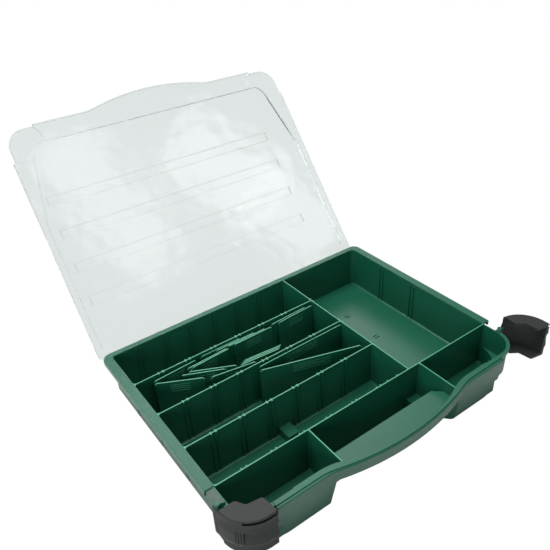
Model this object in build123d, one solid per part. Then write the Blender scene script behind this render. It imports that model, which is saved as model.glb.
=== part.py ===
from build123d import *
import math
import os

# Compartments: X runs along the front, Y towards the hinge, Z up, origin in the middle of the base
cavity_width = 330.0
big_compartment_width = 110.5
handle_compartment_width = 138.0
back_channel_depth = 53.0
channel_pitch = 50.0
front_row_depth = 40.5
tray_height = 52.0
wall = 1.5
floor = 1.5
partition = 1.1
partition_drop = 0.6
scoop_radius = 8.0
foot_radius = 2.5
left_foot_radius = 10.5
front_foot_radius = 3.0
inner_corner_radius = 1.25
end_corner_radius = 3.25
back_corner_radius = 5.0
latch_corner_radius = 23.0
lower_corner_radius = 44.0
lower_corner_height = 22.0
join = 0.2
overshoot = 1.0

# Rim, apron and front wall of the tray
rim_overhang = 9.5
back_overhang = 7.0
rim_thickness = 1.8
apron_depth = 5.5
apron_thickness = 1.5
rim_bevel_height = 1.2
rim_bevel = 0.6
rim_corner_radius = 9.0
front_overhang = 7.5
front_lip_width = 5.0
front_lip_step = 1.2
front_bevel = 1.2
front_band_depth = 7.0
front_wall_half_length = 137.0
front_end_hollow = 8.0
corner_flange_reach = 3.5
corner_flange_thickness = 3.0
corner_flange_end = 4.75

# Carrying handle: a shallow bay of the middle compartment over a finger recess
handle_outer_rise = 12.5
handle_outer_radius = 273.0
handle_inner_rise = 18.0
handle_inner_radius = 180.0
handle_blend_radius = 60.0
handle_lip_rise = 13.5
handle_reach = 20.0
shelf_depth = 14.0
shelf_thickness = 1.7
shelf_ledge_width = 4.8
shelf_ledge_drop = 0.8
handle_draft = 8.0
recess_depth = 14.0
recess_top_half_width = 58.4
recess_foot_half_width = 66.5
recess_slant = 0.87
recess_wall = 1.8

# Guide ribs that hold the dividers, and the moulded pads and marks on the floor
guide_pitch = 30.3
guide_first = 29.0
guide_count = 6
guide_spacing = 5.0
guide_width = 1.2
guide_height = 1.2
guide_top_drop = 4.0
nub_offsets = (27.1, 14.8)
pad_width = 12.5
pad_length = 16.0
pad_height = 9.5
pad_offset = 98.0
block_width = 15.0
block_length = 10.0
block_height = 10.5
mark_length = 6.0
mark_width = 0.9
mark_spacing = 3.6
mark_height = 0.8

# Hinge of the lid
hinge_offset = 2.85
hinge_drop = 5.1
hinge_pin_radius = 1.1
hinge_clearance = 0.06
lug_radius = 2.0
lug_width = 6.0
knuckle_radius = 1.9
knuckle_width = 13.0
knuckle_gap = 0.4
pin_end_gap = 0.5
hinge_stations = (-118.0, -40.0, 40.0, 118.0)
lid_open_angle = 128.5

# Lid
lid_gap = 0.2
lid_side_inset = 0.5
lid_back_overhang = 4.0
lid_skirt_height = 4.0
lid_thickness = 1.4
lid_handle_rise = 10.7
lid_back_corner_radius = 4.5
lid_corner_radius = 20.0
lid_corner_inset = 2.5
lid_corner_depth = 37.0
panel_drop = 2.1
panel_margin = 8.0
panel_front_margin = 21.0
panel_corner_width = 22.0
panel_corner_depth = 88.0
panel_corner_rise = 12.0
panel_slant_share = 0.7
panel_front_radius = 10.0
panel_side_radius = 60.0
panel_back_radius = 4.0
band_width = 12.0
band_pitch = 38.0
band_count = 4
band_height = 1.5
band_first = 61.0
band_left_inset = 7.0
band_right_inset = 38.0
latch_seat_depth = 0.8
latch_seat_shift_x = 7.0
latch_seat_shift_y = 8.0
latch_seat_radius = 20.0
latch_seat_margin = 0.8

# Corner latches: a C-shaped jaw that swings on a post moulded on the tray
post_radius = 2.2
post_clearance = 0.05
post_offset_x = 6.7
post_setback = 25.0
post_length = 34.0
post_foot_height = 1.5
post_foot_radius = 3.4
post_web = 1.4
post_web_angle = -22.0
clip_radius = 4.6
clip_drop = 5.5
clip_open_from = -48.0
clip_open_to = 92.0
clip_foot_round = 1.6
latch_swing = 87.0
latch_bend_offset = 24.7
latch_inner_radius = 26.0
latch_outer_radius = 30.3
latch_bulge_radius = 31.5
latch_foot_radius = 29.2
latch_bulge_height = 12.0
latch_edge_round = 1.6
latch_groove_depth = 2.5
latch_groove_height = 2.8
latch_hollow_depth = 2.9
latch_hollow_rise = 8.3
latch_hollow_height = 18.5
latch_hollow_round = 5.0
latch_hollow_angle = 44.0
latch_post_run = 8.5
latch_post_plate = 2.4
latch_free_run = 5.7
latch_plate = 3.0
latch_plate_gap = 0.4
latch_hook_gap = 0.4
latch_foot_clearance = 0.6
latch_back_edge = 2.6
latch_lobe_reach = 15.3
latch_valley_x = 10.1
latch_valley_y = 10.9
latch_nose_inset = 1.9
latch_nose_reach = 13.0
latch_lobe_radii = (2.5, 3.0, 3.5)
flute_angles = (47.0, 51.0, 55.0)
flute_width = 0.9
flute_depth = 0.7
flute_drop = 12.0
flute_length = 24.0

# Dividers
divider_thickness = 1.1
divider_height = 47.0
short_divider_play = 0.8
long_divider_play = 2.3
divider_floor_gap = 0.5
divider_shoulder = 1.2
divider_rib_gap = 0.3
stack_gap = 0.7

# Places worked out from the sizes above
half_width = cavity_width / 2
back_y = (back_channel_depth + 3 * channel_pitch + front_row_depth) / 2
front_y = -back_y
line_a = back_y - back_channel_depth
line_b = line_a - channel_pitch
line_c = line_b - channel_pitch
line_f = line_c - channel_pitch
side_line = half_width - big_compartment_width
handle_line = handle_compartment_width / 2
half_partition = partition / 2
partition_top = tray_height - partition_drop
rim_side_x = half_width + rim_overhang
rim_back_y = back_y + back_overhang
rim_front_y = front_y - front_overhang
lip_front_y = front_y - front_lip_width
lip_base = tray_height - front_lip_step
front_band_foot = tray_height - front_band_depth
hinge_y = rim_back_y + hinge_offset
hinge_z = tray_height - hinge_drop
lid_bottom = tray_height + lid_gap
lid_top = lid_bottom + lid_skirt_height
lid_back_y = rim_back_y + lid_back_overhang
post_x = half_width + post_offset_x
post_y = front_y + post_setback
bend_x = post_x - latch_bend_offset
bend_y = post_y - latch_post_run
latch_low = lower_corner_height - latch_hook_gap - latch_plate
latch_plate_bottom = lid_top - latch_seat_depth + latch_plate_gap
latch_top = latch_plate_bottom + latch_plate
short_divider_length = channel_pitch - partition - short_divider_play
long_divider_length = big_compartment_width - half_partition - long_divider_play


def plan_face(points, radii, level):
    """A flat closed outline at one height, with each corner rounded by its own radius."""
    corners = [(x, y, level) for x, y in points]
    return make_face(FilletPolyline(*corners, radius=radii, close=True))


def prism(points, radii, bottom, top):
    """An upright prism on a plan outline."""
    return extrude(plan_face(points, radii, bottom), amount=top - bottom, dir=(0, 0, 1))


def box_between(x0, x1, y0, y1, z0, z1):
    """A plain box between two opposite corners."""
    return Pos((x0 + x1) / 2, (y0 + y1) / 2, (z0 + z1) / 2) * Box(x1 - x0, y1 - y0, z1 - z0)


def tub(x0, x1, y0, y1, z0, z1, foot_rounds, plan_rounds):
    """A tub-shaped block, its foot rounded at the front, back, left and right, and its upright corners."""
    front_round, back_round, left_round, right_round = foot_rounds
    side_points = [(x0, y0, z1), (x0, y0, z0), (x0, y1, z0), (x0, y1, z1)]
    side_face = make_face(FilletPolyline(*side_points, radius=[0, front_round, back_round, 0], close=True))
    end_points = [(x0, y0, z1), (x0, y0, z0), (x1, y0, z0), (x1, y0, z1)]
    end_face = make_face(FilletPolyline(*end_points, radius=[0, left_round, right_round, 0], close=True))
    along = extrude(side_face, amount=x1 - x0, dir=(1, 0, 0))
    across = extrude(end_face, amount=y1 - y0, dir=(0, 1, 0))
    upright = prism([(x0, y0), (x1, y0), (x1, y1), (x0, y1)], plan_rounds, z0, z1)
    return along & across & upright


def corner_bowl(side, grow, z0, z1):
    """A block that rounds a lower front corner of the box, in plan and along its foot."""
    reach = cavity_width
    outer_x = half_width + grow
    outer_y = front_y - grow
    points = [(outer_x - reach, outer_y), (outer_x, outer_y), (outer_x, outer_y + reach)]
    points.append((outer_x - reach, outer_y + reach))
    block = prism(points, [0, lower_corner_radius + grow, 0, 0], z0, z1)
    foot_edges = block.faces().sort_by(Axis.Z)[0].edges()
    rounded = foot_edges.sort_by(Axis.Y)[:1] + foot_edges.sort_by(Axis.X)[-1:]
    rounded += foot_edges.filter_by(GeomType.CIRCLE)
    block = fillet(rounded, front_foot_radius + grow)
    return block if side > 0 else mirrored(block)


def handle_curve(straight_y, rise, big_radius, level):
    """The bulging front edge: one long arc that blends into the straight edge at both ends."""
    blend = handle_blend_radius
    reach = math.sqrt((big_radius + blend) ** 2 - (big_radius + blend - rise) ** 2)
    big_centre = straight_y - rise + big_radius
    share = big_radius / (big_radius + blend)
    meet_x = reach * share
    meet_y = big_centre - (blend - rise + big_radius) * share
    half_turn = math.asin(reach / (big_radius + blend)) / 2
    blend_x = reach - blend * math.sin(half_turn)
    blend_y = straight_y - blend + blend * math.cos(half_turn)
    left = ThreePointArc((-reach, straight_y, level), (-blend_x, blend_y, level), (-meet_x, meet_y, level))
    middle = ThreePointArc((-meet_x, meet_y, level), (0, straight_y - rise, level), (meet_x, meet_y, level))
    right = ThreePointArc((meet_x, meet_y, level), (blend_x, blend_y, level), (reach, straight_y, level))
    return [left, middle, right], reach


def bulged_face(half_length, straight_y, inner_y, rise, big_radius, level):
    """A plan face along the front: straight at the back, bulging at the handle."""
    arcs, reach = handle_curve(straight_y, rise, big_radius, level)
    edges = [
        Line((-half_length, inner_y, level), (-half_length, straight_y, level)),
        Line((-half_length, straight_y, level), (-reach, straight_y, level)),
        *arcs,
        Line((reach, straight_y, level), (half_length, straight_y, level)),
        Line((half_length, straight_y, level), (half_length, inner_y, level)),
        Line((half_length, inner_y, level), (-half_length, inner_y, level)),
    ]
    return make_face(Wire([edge for line in edges for edge in line.edges()]))


def handle_face(level):
    """Plan face inside the outer edge of the front rim and the handle."""
    half = front_wall_half_length - handle_reach
    return bulged_face(half, rim_front_y, front_y + wall, handle_outer_rise, handle_outer_radius, level)


def mirrored(shape):
    """The same shape on the other side of the box."""
    return mirror(shape, about=Plane.YZ)


def compartments():
    """Each compartment's x0, x1, y0, y1 of its inner faces, foot radii, plan radii and rounded side."""
    sharp = inner_corner_radius
    ended = end_corner_radius
    foot = foot_radius
    rows = []
    edges = (back_y, line_a, line_b, line_c, line_f)
    channel_feet = (scoop_radius, foot, left_foot_radius, foot)
    for row in range(4):
        upper = edges[row] - (half_partition if row else 0)
        lower = edges[row + 1] + half_partition
        x1 = side_line - half_partition
        rows.append((-half_width, x1, lower, upper, channel_feet, [ended, sharp, sharp, ended], 0))
    big_feet = (scoop_radius, foot, foot, foot)
    x0 = side_line + half_partition
    y0 = line_f + half_partition
    rows.append((x0, half_width, y0, back_y, big_feet, [sharp, sharp, back_corner_radius, sharp], 0))
    front_back = line_f - half_partition
    inner = handle_line - half_partition
    outer = handle_line + half_partition
    plain = [sharp] * 4
    feet = (front_foot_radius, foot, foot, foot)
    rows.append((-half_width, -outer, front_y, front_back, feet, plain, -1))
    rows.append((-inner, inner, front_y, front_back, feet, plain, 0))
    rows.append((outer, half_width, front_y, front_back, feet, plain, 1))
    return rows


def compartment_block(row, grow, z0, z1):
    """The space of one compartment, or with grow the block of its outer faces."""
    x0, x1, y0, y1, feet, rounds, side = row
    feet = [radius + grow for radius in feet]
    rounds = [radius + grow for radius in rounds]
    block = tub(x0 - grow, x1 + grow, y0 - grow, y1 + grow, z0, z1, feet, rounds)
    return block & corner_bowl(side, grow, z0, z1) if side else block


def rim():
    """Flange and hanging apron along the back and both sides."""
    bevel_base = tray_height - rim_bevel_height
    apron_foot = tray_height - apron_depth
    corners = [
        (-rim_side_x, line_f),
        (rim_side_x, line_f),
        (rim_side_x, rim_back_y),
        (-rim_side_x, rim_back_y),
    ]
    radii = [0, 0, rim_corner_radius, rim_corner_radius]
    outline = plan_face(corners, radii, bevel_base)
    taper = math.degrees(math.atan2(rim_bevel, rim_bevel_height))
    upper = extrude(outline, amount=rim_bevel_height, dir=(0, 0, 1), taper=taper)
    lower = prism(corners, radii, apron_foot, bevel_base)
    inset = apron_thickness
    inner = [
        (-rim_side_x + inset, line_f - overshoot),
        (rim_side_x - inset, line_f - overshoot),
        (rim_side_x - inset, rim_back_y - inset),
        (-rim_side_x + inset, rim_back_y - inset),
    ]
    inner_radii = [0, 0, rim_corner_radius - inset, rim_corner_radius - inset]
    hollow = prism(inner, inner_radii, apron_foot - overshoot, tray_height - rim_thickness)
    return upper + lower - hollow


def front_wall():
    """The front wall, tapered outwards to its rim, with a raised lip; narrower below the upper corners."""
    inside = front_y - wall / 2
    foot = front_foot_radius + floor
    slope = (front_y - wall - rim_front_y) / (front_band_foot - foot)
    corner_face = rim_front_y + slope * (front_band_foot - lower_corner_height)
    bevel_base = lip_base - front_bevel
    half = front_wall_half_length
    upper = [
        (-half, inside, lip_base),
        (-half, rim_front_y + front_bevel / 2, lip_base),
        (-half, rim_front_y, bevel_base),
        (-half, rim_front_y, front_band_foot),
        (-half, corner_face, lower_corner_height),
        (-half, inside, lower_corner_height),
    ]
    lower = [
        (-half, line_f, lower_corner_height + join),
        (-half, corner_face, lower_corner_height + join),
        (-half, corner_face, lower_corner_height),
        (-half, front_y - wall, foot),
        (-half, line_f, foot),
    ]
    radius = front_y + lower_corner_radius - corner_face
    side = half_width - lower_corner_radius + radius
    plan = [(-side, corner_face), (side, corner_face), (side, 0), (-side, 0)]
    rounded = prism(plan, [radius, radius, 0, 0], foot, lower_corner_height + join)
    top_part = extrude(make_face(Polyline(*upper, close=True)), amount=2 * half, dir=(1, 0, 0))
    low_part = extrude(make_face(Polyline(*lower, close=True)), amount=2 * half, dir=(1, 0, 0))
    lip = box_between(-half, half, lip_front_y, inside, lip_base - join, tray_height)
    return top_part + (low_part & rounded) + lip


def rim_end_hollow():
    """The hollow under the overhanging rim, open at the right end of the front wall."""
    start = front_wall_half_length - front_end_hollow
    skin = rim_front_y + apron_thickness
    profile = [
        (start, front_y - wall, lip_base - rim_thickness),
        (start, skin, lip_base - rim_thickness),
        (start, skin, front_band_foot),
        (start, front_y - wall, front_band_foot - front_band_depth),
    ]
    return extrude(make_face(Polyline(*profile, close=True)), amount=2 * front_end_hollow, dir=(1, 0, 0))


def handle_bay():
    """The outward bay of the front wall that serves as the carrying handle, with its raised lip."""
    bevel_base = lip_base - front_bevel
    depth = bevel_base - (tray_height - shelf_depth - shelf_thickness)
    outline = handle_face(bevel_base)
    taper = math.degrees(math.atan2(front_bevel / 2, front_bevel))
    upper = extrude(outline, amount=front_bevel, dir=(0, 0, 1), taper=taper)
    lower = extrude(outline, amount=depth, dir=(0, 0, -1), taper=handle_draft)
    half = front_wall_half_length - handle_reach
    level = lip_base - join
    lip = bulged_face(half, lip_front_y, front_y + wall, handle_lip_rise, handle_outer_radius, level)
    return upper + lower + extrude(lip, amount=tray_height - level, dir=(0, 0, 1))


def bay_opening():
    """The hollow above the shelf of the handle, open at the top."""
    shelf_top = tray_height - shelf_depth
    half = half_width - latch_corner_radius
    outline = bulged_face(half, front_y, front_y + wall, handle_inner_rise, handle_inner_radius, shelf_top)
    return extrude(outline, amount=shelf_depth + overshoot, dir=(0, 0, 1))


def recess_shape(grow, top, foot):
    """The finger recess under the handle, or with grow the wall around it."""
    inner_y = front_y + recess_depth + grow
    outer_y = rim_front_y - handle_outer_rise - handle_reach
    run = (inner_y - outer_y) * recess_slant
    side = grow * math.hypot(1, recess_slant)
    sections = []
    for half, level in ((recess_top_half_width, top), (recess_foot_half_width, foot)):
        points = [
            (-half - side - run, outer_y, level),
            (half + side + run, outer_y, level),
            (half + side, inner_y, level),
            (-half - side, inner_y, level),
        ]
        sections.append(make_face(Polyline(*points, close=True)))
    return loft(sections, ruled=True)


def shelf_ledge():
    """The strip behind the shelf of the handle, where the recess's wall is lower."""
    top = tray_height - shelf_depth
    inner_y = front_y + recess_depth + recess_wall
    half = handle_line - half_partition
    front = inner_y - shelf_ledge_width
    return box_between(-half, half, front, inner_y + join, top - shelf_ledge_drop, top + overshoot)


def upper_corner(grow, inner_y, bottom, top):
    """Plan block of the right front corner that the latch grips, moved outwards by grow."""
    outer_x = half_width + grow
    outer_y = front_y - grow
    inner_x = half_width - lower_corner_radius
    points = [(inner_x, outer_y), (outer_x, outer_y), (outer_x, inner_y), (inner_x, inner_y)]
    return prism(points, [0, latch_corner_radius + grow, 0, 0], bottom, top)


def corner_shell():
    """The right upper corner: its wall down to the cut-back foot, and the flange around its top."""
    back = front_y + lower_corner_radius
    shell = upper_corner(wall, back, lower_corner_height, lip_base)
    flange_end = post_y - corner_flange_end
    flange_foot = lip_base - corner_flange_thickness
    flange = upper_corner(corner_flange_reach, back, flange_foot, lip_base)
    left = front_wall_half_length - join
    return shell + (flange & box_between(left, rim_side_x, rim_front_y, flange_end, flange_foot, lip_base))


def corner_opening():
    """The upper, wider corner of the right front compartment."""
    return upper_corner(0, line_f - half_partition, lower_corner_height + wall, tray_height + overshoot)


def latch_post():
    """The right-hand post for the latch, with the web that joins it to the wall."""
    foot_z = tray_height - post_length
    pin = Pos(post_x, post_y, foot_z + post_length / 2) * Cylinder(post_radius, post_length)
    foot = Pos(post_x, post_y, foot_z - post_foot_height / 2) * Cylinder(post_foot_radius, post_foot_height)
    length = post_offset_x
    web = Pos(-length / 2, 0, post_length / 2) * Box(length, post_web, post_length)
    web = Pos(post_x, post_y, foot_z) * Rot(0, 0, -post_web_angle) * web
    foot_web = Pos(-length / 2, 0, -post_foot_height / 2) * Box(length, post_web, post_foot_height)
    foot_web = Pos(post_x, post_y, foot_z) * Rot(0, 0, -post_web_angle) * foot_web
    return pin + foot + web + foot_web


def hinge_lug(station):
    """Two lugs under the back rim, one on each side of a knuckle of the lid."""
    lugs = []
    for side in (-1, 1):
        centre = station + side * (knuckle_width / 2 + knuckle_gap + lug_width / 2)
        barrel = Pos(centre, hinge_y, hinge_z) * Rot(0, 90, 0) * Cylinder(lug_radius, lug_width)
        left = centre - lug_width / 2
        low = hinge_z - lug_radius
        root = box_between(left, left + lug_width, back_y + wall / 2, hinge_y, low, low + 2 * lug_radius)
        bore = Pos(centre, hinge_y, hinge_z) * Rot(0, 90, 0)
        bore = bore * Cylinder(hinge_pin_radius + hinge_clearance, lug_width + overshoot)
        lugs.append(barrel + root - bore)
    return lugs


def guide_pair(x, wall_y, facing, top):
    """Two upright ribs on a lengthwise wall, which hold the end of a short divider."""
    ribs = []
    near = wall_y - facing * join
    far = wall_y + facing * guide_height
    low, high = sorted((near, far))
    for side in (-1, 1):
        left = x + side * guide_spacing / 2 - guide_width / 2
        ribs.append(box_between(left, left + guide_width, low, high, floor / 2, top))
    return ribs


def guide_ribs():
    """All guide ribs of the four channels, and the slots for the long dividers."""
    ribs = []
    top = tray_height - guide_top_drop
    places = [-half_width + guide_first + guide_pitch * k for k in range(guide_count)]
    for x in places:
        ribs += guide_pair(x, back_y, -1, top)
        for line in (line_a, line_b, line_c, line_f):
            ribs += guide_pair(x, line + half_partition, 1, partition_top)
        for line in (line_a, line_b, line_c):
            ribs += guide_pair(x, line - half_partition, -1, partition_top)
    for offset in nub_offsets:
        left = side_line - offset - guide_width / 2
        near = line_f + half_partition
        right = left + guide_width
        ribs.append(box_between(left, right, near - join, near + guide_height, floor / 2, partition_top))
    divide = side_line + half_partition
    for line in (line_a, line_b):
        for side in (-1, 1):
            y = line + side * guide_spacing / 2 - guide_width / 2
            for near, far, high in (
                (divide - join, divide + guide_height, partition_top),
                (half_width - guide_height, half_width + join, top),
            ):
                ribs.append(box_between(near, far, y, y + guide_width, floor / 2, high))
    return ribs


def floor_pads():
    """Two moulded blocks and the paired marks on the floor."""
    back_face = line_c - half_partition
    pad_x = -half_width + pad_offset
    pad_y = back_face - pad_length
    block_y = line_f - half_partition - block_length
    block_x = handle_line - block_width
    pads = [
        box_between(pad_x, pad_x + pad_width, pad_y, back_face + join, floor / 2, floor + pad_height),
        box_between(block_x, handle_line, block_y, line_f, floor / 2, floor + block_height),
    ]
    mark_x = (side_line + half_width - mark_length) / 2
    for line in (line_a, line_b):
        for side in (-1, 1):
            y = line + (side * mark_spacing - mark_width) / 2
            top = floor + mark_height
            pads.append(box_between(mark_x, mark_x + mark_length, y, y + mark_width, floor / 2, top))
    return pads


def make_tray():
    """The moulded tray with its compartments, rim, handle, latch posts and hinge lugs."""
    body = None
    for row in compartments():
        shell = compartment_block(row, wall, 0, tray_height if row[-1] == 0 else lip_base)
        body = shell if body is None else body + shell
    corner = corner_shell()
    body = body + rim() + front_wall() + handle_bay() + corner + mirrored(corner)
    for row in compartments():
        body = body - compartment_block(row, 0, floor, tray_height + overshoot)
    body = body - corner_opening() - mirrored(corner_opening())
    body = body - rim_end_hollow() - mirrored(rim_end_hollow())
    body = body - bay_cut() - partition_relief()
    recess_top = tray_height - shelf_depth
    half = front_wall_half_length
    feet = (front_foot_radius + wall, 0, 0, 0)
    inside = tub(-half, half, front_y - wall, 0, 0, recess_top, feet, [0] * 4)
    body = body + (recess_shape(recess_wall, recess_top, 0) & inside) - shelf_ledge()
    body = body - recess_shape(0, recess_top - shelf_thickness, -overshoot)
    lugs = [lug for station in hinge_stations for lug in hinge_lug(station)]
    return body + (guide_ribs() + floor_pads() + lugs + [latch_post(), mirrored(latch_post())])


def bay_cut():
    """The bay's hollow, split by the two short partitions of the front row."""
    opening = bay_opening()
    front = rim_front_y - handle_reach
    for side in (-1, 1):
        left = side * handle_line - half_partition
        opening = opening - box_between(left, left + partition, front, line_f, 0, partition_top)
    return opening


def partition_relief():
    """The thin space above the partitions, which end just below the rim."""
    radii = [latch_corner_radius, latch_corner_radius, back_corner_radius, inner_corner_radius]
    points = [(-half_width, front_y), (half_width, front_y), (half_width, back_y), (-half_width, back_y)]
    return prism(points, radii, partition_top, tray_height + overshoot)


def lid_outline(inset, level):
    """Plan outline of the lid, moved inwards by inset."""
    side = rim_side_x - lid_side_inset - inset
    back = lid_back_y - inset
    front = rim_front_y + inset
    step_y = rim_front_y + lid_corner_depth
    arcs, reach = handle_curve(front, lid_handle_rise, handle_outer_radius - inset, level)
    step_x = front_wall_half_length + lid_corner_inset + inset
    corner_side = side - lid_corner_inset
    corner_front = front + lid_corner_inset
    radius = lid_corner_radius - inset
    back_radius = lid_back_corner_radius - inset
    right = FilletPolyline(
        (reach, front, level),
        (step_x, front, level),
        (step_x, corner_front, level),
        (corner_side, corner_front, level),
        (corner_side, step_y, level),
        (side, step_y, level),
        (side, back, level),
        (0, back, level),
        radius=[0, 0, radius, 0, 0, back_radius],
    )
    left = mirror(right, about=Plane.YZ)
    edges = [*right.edges(), *left.edges()]
    for arc in arcs:
        edges += arc.edges()
    return make_face(Wire.combine(edges)[0])


def panel_outline(inset, level):
    """Plan outline of the lid's sunk middle panel, with its slanting front corners."""
    side = rim_side_x - lid_side_inset - panel_margin - inset
    back = rim_back_y - panel_margin - inset
    front = rim_front_y + panel_front_margin + inset
    slant = panel_corner_width - inset / 2
    half = [
        (side - slant, front),
        (side - slant * panel_slant_share, front + panel_corner_rise),
        (side, front + panel_corner_depth),
        (side, back),
    ]
    points = half + [(-x, y) for x, y in reversed(half)]
    radii = [panel_front_radius, panel_front_radius, panel_side_radius, panel_back_radius]
    return plan_face(points, radii + radii[::-1], level)


def latch_seat():
    """The flat place on the lid's right front corner that the latch closes over."""
    centre_x = bend_x + latch_seat_shift_x
    centre_y = bend_y - latch_seat_shift_y
    round_end = Pos(centre_x, centre_y, lid_top) * Cylinder(latch_seat_radius, 2 * latch_seat_depth)
    left = bend_x - latch_free_run - latch_seat_margin
    back = rim_front_y + lid_corner_depth
    front = rim_front_y - overshoot
    low = lid_top - latch_seat_depth
    return round_end + box_between(left, rim_side_x, front, back, low, lid_top + latch_seat_depth)


def lid_bands(bottom, top, inset):
    """The bands that stiffen the panel, as blocks; inset narrows them for their hollow undersides."""
    half = band_width / 2 - inset
    x0 = -half_width + band_left_inset + inset
    x1 = half_width - band_right_inset - inset
    places = [hinge_y - band_first - band_pitch * index for index in range(band_count)]
    return [box_between(x0, x1, y - half, y + half, bottom, top) for y in places]


def make_lid():
    """The clear lid in its closed position: skirt, raised rim, sunk panel with bands, knuckles."""
    body = extrude(lid_outline(0, lid_bottom), amount=lid_skirt_height, dir=(0, 0, 1))
    body = body - latch_seat() - mirrored(latch_seat())
    below = lid_bottom - overshoot
    inner_top = lid_top - lid_thickness - latch_seat_depth / 2
    panel_top = lid_top - panel_drop
    panel_bottom = panel_top - lid_thickness
    ring = extrude(lid_outline(lid_thickness, below), amount=inner_top - below, dir=(0, 0, 1))
    keep = extrude(panel_outline(-lid_thickness, below), amount=lid_top - below, dir=(0, 0, 1))
    body = body - (ring - keep)
    body = body - extrude(panel_outline(0, panel_top), amount=panel_drop + overshoot, dir=(0, 0, 1))
    body = body - extrude(panel_outline(0, below), amount=panel_bottom - below, dir=(0, 0, 1))
    body = body + lid_bands(panel_bottom, panel_top + band_height, 0)
    body = body - lid_bands(below, panel_bottom + band_height, lid_thickness)
    return body + [knuckle(station) for station in hinge_stations]


def knuckle(station):
    """A knuckle of the lid with its moulded pin ends, under the lid's back edge."""
    x0 = station - knuckle_width / 2
    barrel = Pos(station, hinge_y, hinge_z) * Rot(0, 90, 0) * Cylinder(knuckle_radius, knuckle_width)
    front = hinge_y - lid_thickness / 2
    top = lid_top - lid_thickness / 2
    riser = box_between(x0, x0 + knuckle_width, front, lid_back_y, hinge_z, top)
    pin_length = knuckle_width + 2 * (knuckle_gap + lug_width - pin_end_gap)
    pin = Pos(station, hinge_y, hinge_z) * Rot(0, 90, 0) * Cylinder(hinge_pin_radius, pin_length)
    return barrel + riser + pin


def ring_section(points, radii):
    """A section through the jaw's upright axis, from points of radius and height, with its corner radii."""
    corners = [(bend_x, bend_y - radius, height) for radius, height in points]
    return make_face(FilletPolyline(*corners, radius=radii, close=True))


def latch_section():
    """Section of the latch's outer wall, which swells towards its middle."""
    middle = (latch_low + latch_top) / 2
    rise = latch_bulge_height / 2
    points = [
        (latch_inner_radius, latch_low),
        (latch_foot_radius, latch_low),
        (latch_foot_radius, middle - latch_bulge_height),
        (latch_bulge_radius, middle - rise),
        (latch_bulge_radius, middle + rise),
        (latch_outer_radius, middle + latch_bulge_height),
        (latch_outer_radius, latch_top),
        (latch_inner_radius, latch_top),
    ]
    return ring_section(points, [0, 0, rise, rise, rise, rise, latch_edge_round, 0])


def latch_groove():
    """Section of the dark groove below the latch's top plate."""
    top = latch_top - latch_edge_round
    deep = latch_outer_radius - latch_groove_depth
    out = latch_bulge_radius + latch_plate
    points = [(out, top), (deep, top), (deep, top - latch_groove_height), (out, top - latch_groove_height)]
    return ring_section(points, [0, 0, 0, 0])


def latch_hollow():
    """Section of the long concave grip that runs round the front of the latch, deepest near its top."""
    top = (latch_low + latch_top) / 2 + latch_hollow_rise
    deep = latch_outer_radius - latch_hollow_depth
    out = latch_bulge_radius + latch_plate
    points = [(out, top), (deep, top), (latch_bulge_radius, top - latch_hollow_height)]
    points.append((out, top - latch_hollow_height))
    return ring_section(points, [0, latch_hollow_round, 0, 0])


def around_front(face, angle):
    """A section carried round the jaw from its free end, by an angle from the front."""
    upright = Axis((bend_x, bend_y, 0), (0, 0, 1))
    return revolve(face, upright, angle) + extrude(face, amount=latch_free_run + overshoot, dir=(-1, 0, 0))


def jaw_plate(z0, z1):
    """Top or bottom plate of the jaw, with its two-lobed inner edge."""
    outer = latch_inner_radius + join
    back = bend_y - latch_back_edge
    end = bend_x - latch_free_run
    points = [
        (bend_x + outer, back),
        (bend_x + outer, bend_y - outer),
        (end, bend_y - outer),
        (end + latch_nose_inset, bend_y - latch_nose_reach),
        (bend_x + latch_valley_x, bend_y - latch_valley_y),
        (bend_x + latch_lobe_reach, back),
    ]
    plate = prism(points, [0, 0, 0, *latch_lobe_radii], z0, z1)
    disc = Pos(bend_x, bend_y, (z0 + z1) / 2) * Cylinder(outer, z1 - z0)
    return plate & (disc + box_between(end, bend_x, bend_y - outer, bend_y, z0, z1))


def make_latch():
    """The right-hand latch in its closed position."""
    section = latch_section()
    upright = Axis((bend_x, bend_y, 0), (0, 0, 1))
    back_angle = math.degrees(math.asin(latch_back_edge / latch_outer_radius))
    bend = revolve(section, upright, 90 - back_angle)
    jaw = bend + extrude(section, amount=latch_free_run, dir=(-1, 0, 0))
    jaw = jaw + jaw_plate(latch_plate_bottom, latch_top)
    hook = jaw_plate(latch_low, latch_low + latch_plate)
    corner = Pos(half_width - lower_corner_radius, front_y + lower_corner_radius, latch_low)
    tub_space = Cylinder(lower_corner_radius + wall + latch_foot_clearance, 2 * latch_plate + overshoot)
    jaw = jaw + (hook - corner * tub_space)
    for cut in (latch_groove(), latch_hollow()):
        jaw = jaw - around_front(cut, latch_hollow_angle)
    jaw = jaw - latch_flutes()
    clip_top = tray_height - clip_drop
    clip_height = clip_top - latch_low
    barrel = Cylinder(clip_radius, clip_height)
    barrel = fillet(barrel.edges().sort_by(Axis.Z)[:1], clip_foot_round)
    clip = Pos(post_x, post_y, latch_low + clip_height / 2) * barrel
    left = bend_x + latch_inner_radius
    front = bend_y - latch_back_edge - overshoot
    arm = box_between(left, left + latch_post_plate, front, post_y, latch_low, clip_top)
    jaw = jaw + clip + arm
    bore = Cylinder(post_radius + post_clearance, clip_height + 2 * overshoot)
    bore = Pos(post_x, post_y, (latch_low + clip_top) / 2) * bore
    return jaw - bore - clip_mouth(latch_low - overshoot, tray_height)


def latch_flutes():
    """Fine upright flutes beside the end of the grip."""
    middle = latch_top - flute_drop - flute_length / 2
    radius = latch_bulge_radius - flute_depth + clip_radius / 2
    flutes = []
    for angle in flute_angles:
        turn = Pos(bend_x, bend_y, middle) * Rot(0, 0, angle - 90)
        flutes.append(turn * Pos(radius, 0, 0) * Box(clip_radius, flute_width, flute_length))
    return flutes


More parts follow.
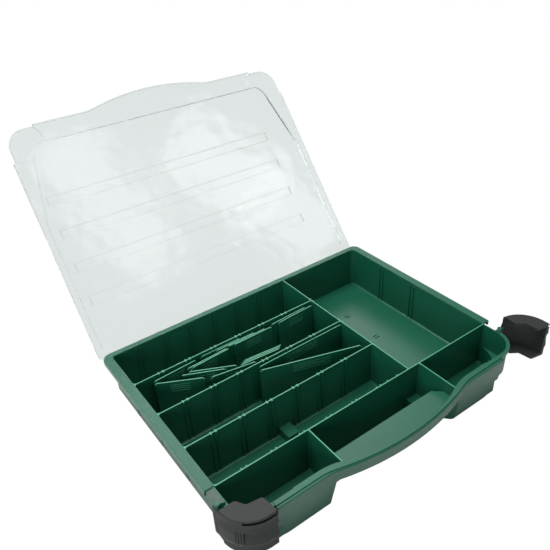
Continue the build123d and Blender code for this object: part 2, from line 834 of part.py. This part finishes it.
def clip_mouth(z0, z1):
    """The side of the clip that stays open, so that it can turn past the web of the post."""
    reach = clip_radius + join
    steps = 4
    spread = math.radians(clip_open_to - clip_open_from)
    angles = [math.radians(clip_open_from) + spread * step / steps for step in range(steps + 1)]
    reach = reach / math.cos(spread / steps / 2)
    points = [(post_x, post_y)]
    points += [(post_x - reach * math.cos(angle), post_y + reach * math.sin(angle)) for angle in angles]
    return prism(points, [0] * len(points), z0, z1)


def make_divider(length, round_at):
    """A flat divider on edge, centred on the origin, with one rounded corner and stepped ends."""
    half = length / 2
    step = divider_shoulder
    outline = box_between(-half, half, -divider_thickness / 2, divider_thickness / 2, 0, divider_height)
    low_edges = outline.edges().filter_by(Axis.Y).sort_by(Axis.Z)[:2]
    outline = fillet(low_edges.sort_by(Axis.X)[-1], scoop_radius)
    for side in (-1, 1):
        notch = Box(2 * step, 2 * divider_thickness, 2 * step)
        outline = outline - Pos(side * half, 0, divider_height) * notch
    if "top" in round_at:
        outline = Pos(0, 0, divider_height) * Rot(180, 0, 0) * outline
    if "left" in round_at:
        outline = Rot(0, 0, 180) * outline
    return outline


def place_divider(length, round_at, start, heading):
    """A divider on the floor, from the plan point start along heading in degrees."""
    angle = math.radians(heading)
    x = start[0] + length / 2 * math.cos(angle)
    y = start[1] + length / 2 * math.sin(angle)
    return Pos(x, y, floor + divider_floor_gap) * Rot(0, 0, heading) * make_divider(length, round_at)


# Stored dividers: plan point where each starts, heading in degrees, and which corner is rounded
stack_pitch = divider_thickness + stack_gap
stack_y = line_a - half_partition - guide_height - divider_thickness / 2 - divider_rib_gap
foot_y = line_b + half_partition
long_y = line_b - half_partition - guide_height - divider_thickness / 2 - divider_rib_gap
short_stored = [
    ((-146.7, stack_y - 2.9), 2.5, "low right"),
    ((-111.6, stack_y - 7.4), 2.6, "low right"),
    ((-111.6, stack_y - 7.4 - stack_pitch), 2.6, "top left"),
    ((-92.0, stack_y), 0.0, "low right"),
    ((-75.0, stack_y - stack_pitch), 0.0, "low right"),
    ((-62.0, stack_y - 2 * stack_pitch), 0.0, "low right"),
    ((-55.0, stack_y - 3 * stack_pitch), 0.0, "low right"),
    ((3.0, stack_y - 4.9), 2.8, "low right"),
    ((-5.0, stack_y - 2.4), 2.2, "low right"),
    ((-147.3, stack_y - 6.2), -28.5, "low right"),
    ((-113.0, stack_y - 12.0), -27.2, "low right"),
    ((-120.5, stack_y - 12.4), -26.3, "top right"),
    ((-99.4, foot_y + 13.8), -10.5, "low right"),
    ((-70.3, foot_y + 10.6), -5.0, "top left"),
    ((-68.0, foot_y + 10.6 + stack_pitch), -5.0, "top left"),
    ((-65.7, foot_y + 10.6 + 2 * stack_pitch), -5.0, "top left"),
]
long_stored = [
    ((-54.3, long_y - 0.7), 0.3, "low right"),
    ((-56.3, long_y - 5.6), -18.4, "low right"),
]

os.makedirs("parts", exist_ok=True)
lid_hinge = Axis((0, hinge_y, hinge_z), (-1, 0, 0))
post_axis = Axis((post_x, post_y, 0), (0, 0, 1))
latch = make_latch()
pieces = {
    "tray": make_tray(),
    "lid": make_lid().rotate(lid_hinge, lid_open_angle),
    "latch_left": mirrored(latch),
    "latch_right": latch.rotate(post_axis, latch_swing),
}
for number, (start, heading, round_at) in enumerate(short_stored, start=1):
    name = "short_divider_%02d" % number
    pieces[name] = place_divider(short_divider_length, round_at, start, heading)
for number, (start, heading, round_at) in enumerate(long_stored, start=1):
    name = "long_divider_%d" % number
    pieces[name] = place_divider(long_divider_length, round_at, start, heading)
for name, shape in pieces.items():
    export_step(shape, "parts/" + name + ".step")
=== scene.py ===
import math

import bpy
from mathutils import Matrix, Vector


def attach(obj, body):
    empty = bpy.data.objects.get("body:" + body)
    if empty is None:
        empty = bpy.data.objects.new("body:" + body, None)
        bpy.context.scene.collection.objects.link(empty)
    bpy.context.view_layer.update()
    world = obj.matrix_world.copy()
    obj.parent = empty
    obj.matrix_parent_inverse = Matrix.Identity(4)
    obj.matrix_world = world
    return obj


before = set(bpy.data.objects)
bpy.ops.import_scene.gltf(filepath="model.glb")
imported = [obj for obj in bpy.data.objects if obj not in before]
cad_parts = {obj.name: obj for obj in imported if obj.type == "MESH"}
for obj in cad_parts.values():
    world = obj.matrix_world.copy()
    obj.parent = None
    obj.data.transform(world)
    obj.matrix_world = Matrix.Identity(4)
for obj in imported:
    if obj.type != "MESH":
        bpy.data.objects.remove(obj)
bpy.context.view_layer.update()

scene = bpy.context.scene
MM = 0.001

# Camera: fitted to the photograph, in metres and degrees of the shared frame
CAMERA_PLACE = (-0.29666, -0.38221, 0.45679)
CAMERA_TURN = (57.088, 3.0227, -35.9345)
FOCAL_PIXELS = 615.78
IMAGE_SIDE = 550
SENSOR_WIDTH = 36.0

# Heights of the partitions' and dividers' top edges, the half-depth of the painted highlight band around
# them, and the dividers' raised lines, which stand on the face whose normal points to the front by more than
# FRONTAL
WALL_TOP = 51.3 * MM
DIVIDER_TOP = 48.9 * MM
HIGHLIGHT_BAND = 0.15 * MM
LONG_DIVIDER = 80.0 * MM
LINES_DROP = 12.0 * MM
LINE_COUNT = 4
LONG_LINE = 40.0 * MM
SHORT_LINE = 19.0 * MM
LINE_HEIGHT = 0.4 * MM
LINE_RELIEF = 0.2 * MM
LINE_PITCH = 2.6 * MM
FRONTAL = -0.5

# Half the side of the floor, and the strength of the soft light from all around
FLOOR_REACH = 6.0
WORLD_STRENGTH = 0.17


def linear(hex_text):
    """An sRGB hex colour as linear red, green, blue and alpha."""
    parts = [int(hex_text[start:start + 2], 16) / 255 for start in (1, 3, 5)]
    parts = [part / 12.92 if part <= 0.04045 else ((part + 0.055) / 1.055) ** 2.4 for part in parts]
    return (*parts, 1.0)


def add(tree, kind, inputs=None, **settings):
    """Adds one node. Each input takes a value, or a socket to link."""
    node = tree.nodes.new(kind)
    for name, value in settings.items():
        setattr(node, name, value)
    for name, value in (inputs or {}).items():
        if isinstance(value, bpy.types.NodeSocket):
            tree.links.new(value, node.inputs[name])
        else:
            node.inputs[name].default_value = value
    return node


def new_material(name):
    """An empty node material and its tree."""
    material = bpy.data.materials.new(name)
    material.use_nodes = True
    material.node_tree.nodes.clear()
    return material, material.node_tree


def green_polypropylene(name, highlight_height, reach):
    """Injection-moulded polypropylene: a deep green with a soft sheen, and a painted highlight: paler green
    near the top edges' height.
    """
    material, tree = new_material(name)
    place = add(tree, "ShaderNodeTexCoord").outputs["Object"]
    grain = add(tree, "ShaderNodeTexNoise", {"Vector": place, "Scale": 900.0, "Detail": 2.0})
    flow = add(tree, "ShaderNodeTexNoise", {"Vector": place, "Scale": 14.0, "Detail": 3.0})
    tone = add(tree, "ShaderNodeMix", {
        "Factor": flow.outputs["Fac"], "A": linear("#0b4934"), "B": linear("#115540")}, data_type="RGBA")
    height = add(tree, "ShaderNodeSeparateXYZ", {0: place})
    # Painted highlight: within the band around the top edges' height the green turns paler (#3a8265), for the
    # light that the narrow tops catch
    near_top = add(tree, "ShaderNodeMath", {
        0: height.outputs["Z"], 1: highlight_height, 2: reach}, operation="COMPARE")
    painted_highlight = add(tree, "ShaderNodeMix", {
        "Factor": near_top.outputs["Value"], "A": tone.outputs["Result"], "B": linear("#3a8265")},
        data_type="RGBA")
    rough = add(tree, "ShaderNodeMapRange", {"Value": flow.outputs["Fac"], "To Min": 0.33, "To Max": 0.43})
    bump = add(tree, "ShaderNodeBump", {"Height": grain.outputs["Fac"], "Strength": 0.12, "Distance": 0.0002})
    shader = add(tree, "ShaderNodeBsdfPrincipled", {
        "Base Color": painted_highlight.outputs["Result"], "Roughness": rough.outputs["Result"], "IOR": 1.49,
        "Normal": bump.outputs["Normal"]})
    add(tree, "ShaderNodeOutputMaterial", {"Surface": shader.outputs["BSDF"]})
    return material


def black_plastic():
    """Moulded black thermoplastic of the latches: matt, so that it greys where light falls on it."""
    material, tree = new_material("moulded black thermoplastic")
    place = add(tree, "ShaderNodeTexCoord").outputs["Object"]
    grain = add(tree, "ShaderNodeTexNoise", {"Vector": place, "Scale": 1400.0, "Detail": 2.0})
    bump = add(tree, "ShaderNodeBump", {"Height": grain.outputs["Fac"], "Strength": 0.3, "Distance": 0.0002})
    rough = add(tree, "ShaderNodeMapRange", {"Value": grain.outputs["Fac"], "To Min": 0.62, "To Max": 0.74})
    shader = add(tree, "ShaderNodeBsdfPrincipled", {
        "Base Color": linear("#17191a"), "Roughness": rough.outputs["Result"], "IOR": 1.5,
        "Normal": bump.outputs["Normal"]})
    add(tree, "ShaderNodeOutputMaterial", {"Surface": shader.outputs["BSDF"]})
    return material


def clear_plastic():
    """Clear polypropylene of the lid: slightly milky and wavy, and lamps pass it to what lies behind."""
    material, tree = new_material("injection-moulded clear polypropylene")
    place = add(tree, "ShaderNodeTexCoord").outputs["Object"]
    wave = add(tree, "ShaderNodeTexNoise", {"Vector": place, "Scale": 26.0, "Detail": 2.0})
    bump = add(tree, "ShaderNodeBump", {"Height": wave.outputs["Fac"], "Strength": 0.35, "Distance": 0.0025})
    shader = add(tree, "ShaderNodeBsdfPrincipled", {
        "Base Color": linear("#dfe6e5"), "Roughness": 0.12, "IOR": 1.49, "Transmission Weight": 1.0,
        "Normal": bump.outputs["Normal"]})
    path = add(tree, "ShaderNodeLightPath")
    passing = add(tree, "ShaderNodeBsdfTransparent", {"Color": linear("#e4eaea")})
    either = add(tree, "ShaderNodeMath", {
        0: path.outputs["Is Shadow Ray"], 1: path.outputs["Is Diffuse Ray"]}, operation="MAXIMUM")
    mix = add(tree, "ShaderNodeMixShader", {
        0: either.outputs["Value"], 1: shader.outputs["BSDF"], 2: passing.outputs["BSDF"]})
    add(tree, "ShaderNodeOutputMaterial", {"Surface": mix.outputs["Shader"]})
    return material


def line_tree(material):
    """Geometry Nodes: a stack of fine raised lines, stood against one face of a divider."""
    tree = bpy.data.node_groups.new("raised lines", "GeometryNodeTree")
    for name, kind in (("Count", "Int"), ("Length", "Float"), ("Height", "Float"), ("Relief", "Float"),
                       ("Pitch", "Float"), ("Place", "Vector"), ("Heading", "Float")):
        tree.interface.new_socket(name, in_out="INPUT", socket_type="NodeSocket" + kind)
    tree.interface.new_socket("Geometry", in_out="OUTPUT", socket_type="NodeSocketGeometry")
    given = add(tree, "NodeGroupInput").outputs
    size = add(tree, "ShaderNodeCombineXYZ", {
        "X": given["Length"], "Y": given["Relief"], "Z": given["Height"]})
    bar = add(tree, "GeometryNodeMeshCube", {"Size": size.outputs["Vector"]})
    step = add(tree, "ShaderNodeCombineXYZ", {"Z": given["Pitch"]})
    row = add(tree, "GeometryNodeMeshLine", {"Count": given["Count"], "Offset": step.outputs["Vector"]})
    bars = add(tree, "GeometryNodeInstanceOnPoints", {
        "Points": row.outputs["Mesh"], "Instance": bar.outputs["Mesh"]})
    turn = add(tree, "ShaderNodeCombineXYZ", {"Z": given["Heading"]})
    placed = add(tree, "GeometryNodeTransform", {
        "Geometry": bars.outputs["Instances"], "Translation": given["Place"],
        "Rotation": turn.outputs["Vector"]})
    real = add(tree, "GeometryNodeRealizeInstances", {"Geometry": placed.outputs["Geometry"]})
    dressed = add(tree, "GeometryNodeSetMaterial", {
        "Geometry": real.outputs["Geometry"], "Material": material})
    add(tree, "NodeGroupOutput", {"Geometry": dressed.outputs["Geometry"]})
    return tree


def grow(name, tree, sizes):
    """One plain mesh object from a Geometry Nodes tree and the values of its named inputs."""
    source = bpy.data.objects.new(name + " source", bpy.data.meshes.new(name + " source"))
    scene.collection.objects.link(source)
    modifier = source.modifiers.new("grow", "NODES")
    modifier.node_group = tree
    for socket in tree.interface.items_tree:
        if socket.in_out == "INPUT":
            modifier[socket.identifier] = sizes[socket.name]
    evaluated = source.evaluated_get(bpy.context.evaluated_depsgraph_get())
    mesh = bpy.data.meshes.new_from_object(evaluated)
    source.modifiers.remove(modifier)
    bpy.data.objects.remove(source)
    piece = bpy.data.objects.new(name, mesh)
    scene.collection.objects.link(piece)
    return piece


def divider_lines(name, node, tree):
    """The fine raised lines near the top of a divider, on its face towards the front."""
    mesh = node.data
    frontal = [polygon for polygon in mesh.polygons if polygon.normal.y < FRONTAL]
    face = max(frontal, key=lambda polygon: polygon.area)
    normal = Vector((face.normal.x, face.normal.y, 0.0)).normalized()
    along = Vector((-normal.y, normal.x, 0.0))
    spots = [vertex.co for vertex in mesh.vertices]
    steps = [spot.dot(along) for spot in spots]
    middle = (min(steps) + max(steps)) / 2
    surface = max(spot.dot(normal) for spot in spots)
    top = max(spot.z for spot in spots)
    long = max(steps) - min(steps) > LONG_DIVIDER
    spot = along * middle + normal * surface
    sizes = {
        "Count": LINE_COUNT, "Length": LONG_LINE if long else SHORT_LINE, "Height": LINE_HEIGHT,
        "Relief": 2 * LINE_RELIEF, "Pitch": LINE_PITCH, "Place": (spot.x, spot.y, top - LINES_DROP),
        "Heading": math.atan2(along.y, along.x)}
    piece = grow(name + "_lines", tree, sizes)
    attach(piece, name)


def dress(node, material):
    """Gives a CAD node its material."""
    slots = node.data.materials
    slots.clear()
    slots.append(material)


# The partitions and dividers get a painted highlight band at their top edges
green = green_polypropylene("injection-moulded green polypropylene", WALL_TOP, HIGHLIGHT_BAND)
divider_green = green_polypropylene("green polypropylene of the dividers", DIVIDER_TOP, HIGHLIGHT_BAND)
# Painted highlight: the raised lines lie within LINES_DROP of DIVIDER_TOP, so their material paints them all
# in the paler green, to show as bright lines
line_green = green_polypropylene("raised lines painted pale as a highlight", DIVIDER_TOP, LINES_DROP)
black = black_plastic()
clear = clear_plastic()
lines = line_tree(line_green)
for name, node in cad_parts.items():
    if name == "tray":
        dress(node, green)
    elif name == "lid":
        dress(node, clear)
    elif "divider" in name:
        dress(node, divider_green)
        divider_lines(name, node, lines)
    else:
        dress(node, black)


def studio():
    """Plain pale floor, soft light and the camera."""
    mesh = bpy.data.meshes.new("floor")
    signs = ((-1, -1), (1, -1), (1, 1), (-1, 1))
    corners = [(FLOOR_REACH * x, FLOOR_REACH * y, 0) for x, y in signs]
    mesh.from_pydata(corners, [], [(0, 1, 2, 3)])
    floor = bpy.data.objects.new("floor", mesh)
    scene.collection.objects.link(floor)
    material, tree = new_material("white backdrop paper")
    path = add(tree, "ShaderNodeLightPath")
    seen = add(tree, "ShaderNodeMath", {
        0: path.outputs["Is Camera Ray"], 1: path.outputs["Is Transmission Ray"]}, operation="MAXIMUM")
    paper = add(tree, "ShaderNodeBsdfDiffuse", {"Color": linear("#d8d8d8")})
    glow = add(tree, "ShaderNodeEmission", {"Color": (1, 1, 1, 1), "Strength": 1.0})
    mix = add(tree, "ShaderNodeMixShader", {
        0: seen.outputs["Value"], 1: paper.outputs["BSDF"], 2: glow.outputs["Emission"]})
    add(tree, "ShaderNodeOutputMaterial", {"Surface": mix.outputs["Shader"]})
    mesh.materials.append(material)

    world = bpy.data.worlds.new("studio")
    scene.world = world
    world.use_nodes = True
    tree = world.node_tree
    tree.nodes.clear()
    path = add(tree, "ShaderNodeLightPath")
    seen = add(tree, "ShaderNodeMath", {
        0: path.outputs["Is Camera Ray"], 1: path.outputs["Is Transmission Ray"]}, operation="MAXIMUM")
    soft = add(tree, "ShaderNodeBackground", {"Color": linear("#f2f5f7"), "Strength": WORLD_STRENGTH})
    white = add(tree, "ShaderNodeBackground", {"Color": (1, 1, 1, 1), "Strength": 1.0})
    mix = add(tree, "ShaderNodeMixShader", {
        0: seen.outputs["Value"], 1: soft.outputs["Background"], 2: white.outputs["Background"]})
    add(tree, "ShaderNodeOutputWorld", {"Surface": mix.outputs["Shader"]})

    for name, place, width, height, power in (
        ("softbox behind", (0.6, 1.1, 1.2), 1.2, 0.7, 10.0),
        ("key softbox overhead", (-0.3, 0.15, 1.4), 0.9, 0.9, 28.0),
        ("low fill at the left", (-1.3, -0.8, 0.45), 0.9, 0.5, 9.0),
        ("left window pane", (0.3, -0.62, 1.2), 0.22, 0.55, 0.7),
        ("middle window pane", (0.72, -0.6, 1.2), 0.26, 0.4, 0.7),
        ("right window pane", (1.1, -0.95, 1.2), 0.3, 0.4, 0.7),
    ):
        light = bpy.data.lights.new(name, "AREA")
        light.shape = "RECTANGLE"
        light.size = width
        light.size_y = height
        light.energy = power
        lamp = bpy.data.objects.new(name, light)
        scene.collection.objects.link(lamp)
        lamp.location = place
        aim = Vector((0.0, 0.0, 0.05)) - Vector(place)
        lamp.rotation_euler = aim.to_track_quat("-Z", "Y").to_euler()

    camera = bpy.data.objects.new("camera", bpy.data.cameras.new("camera"))
    scene.collection.objects.link(camera)
    camera.location = CAMERA_PLACE
    camera.rotation_euler = [math.radians(angle) for angle in CAMERA_TURN]
    camera.data.sensor_width = SENSOR_WIDTH
    camera.data.lens = FOCAL_PIXELS / IMAGE_SIDE * SENSOR_WIDTH
    camera.data.clip_start = 0.01
    camera.data.clip_end = 50.0
    scene.camera = camera
    scene.view_settings.view_transform = "Standard"


studio()
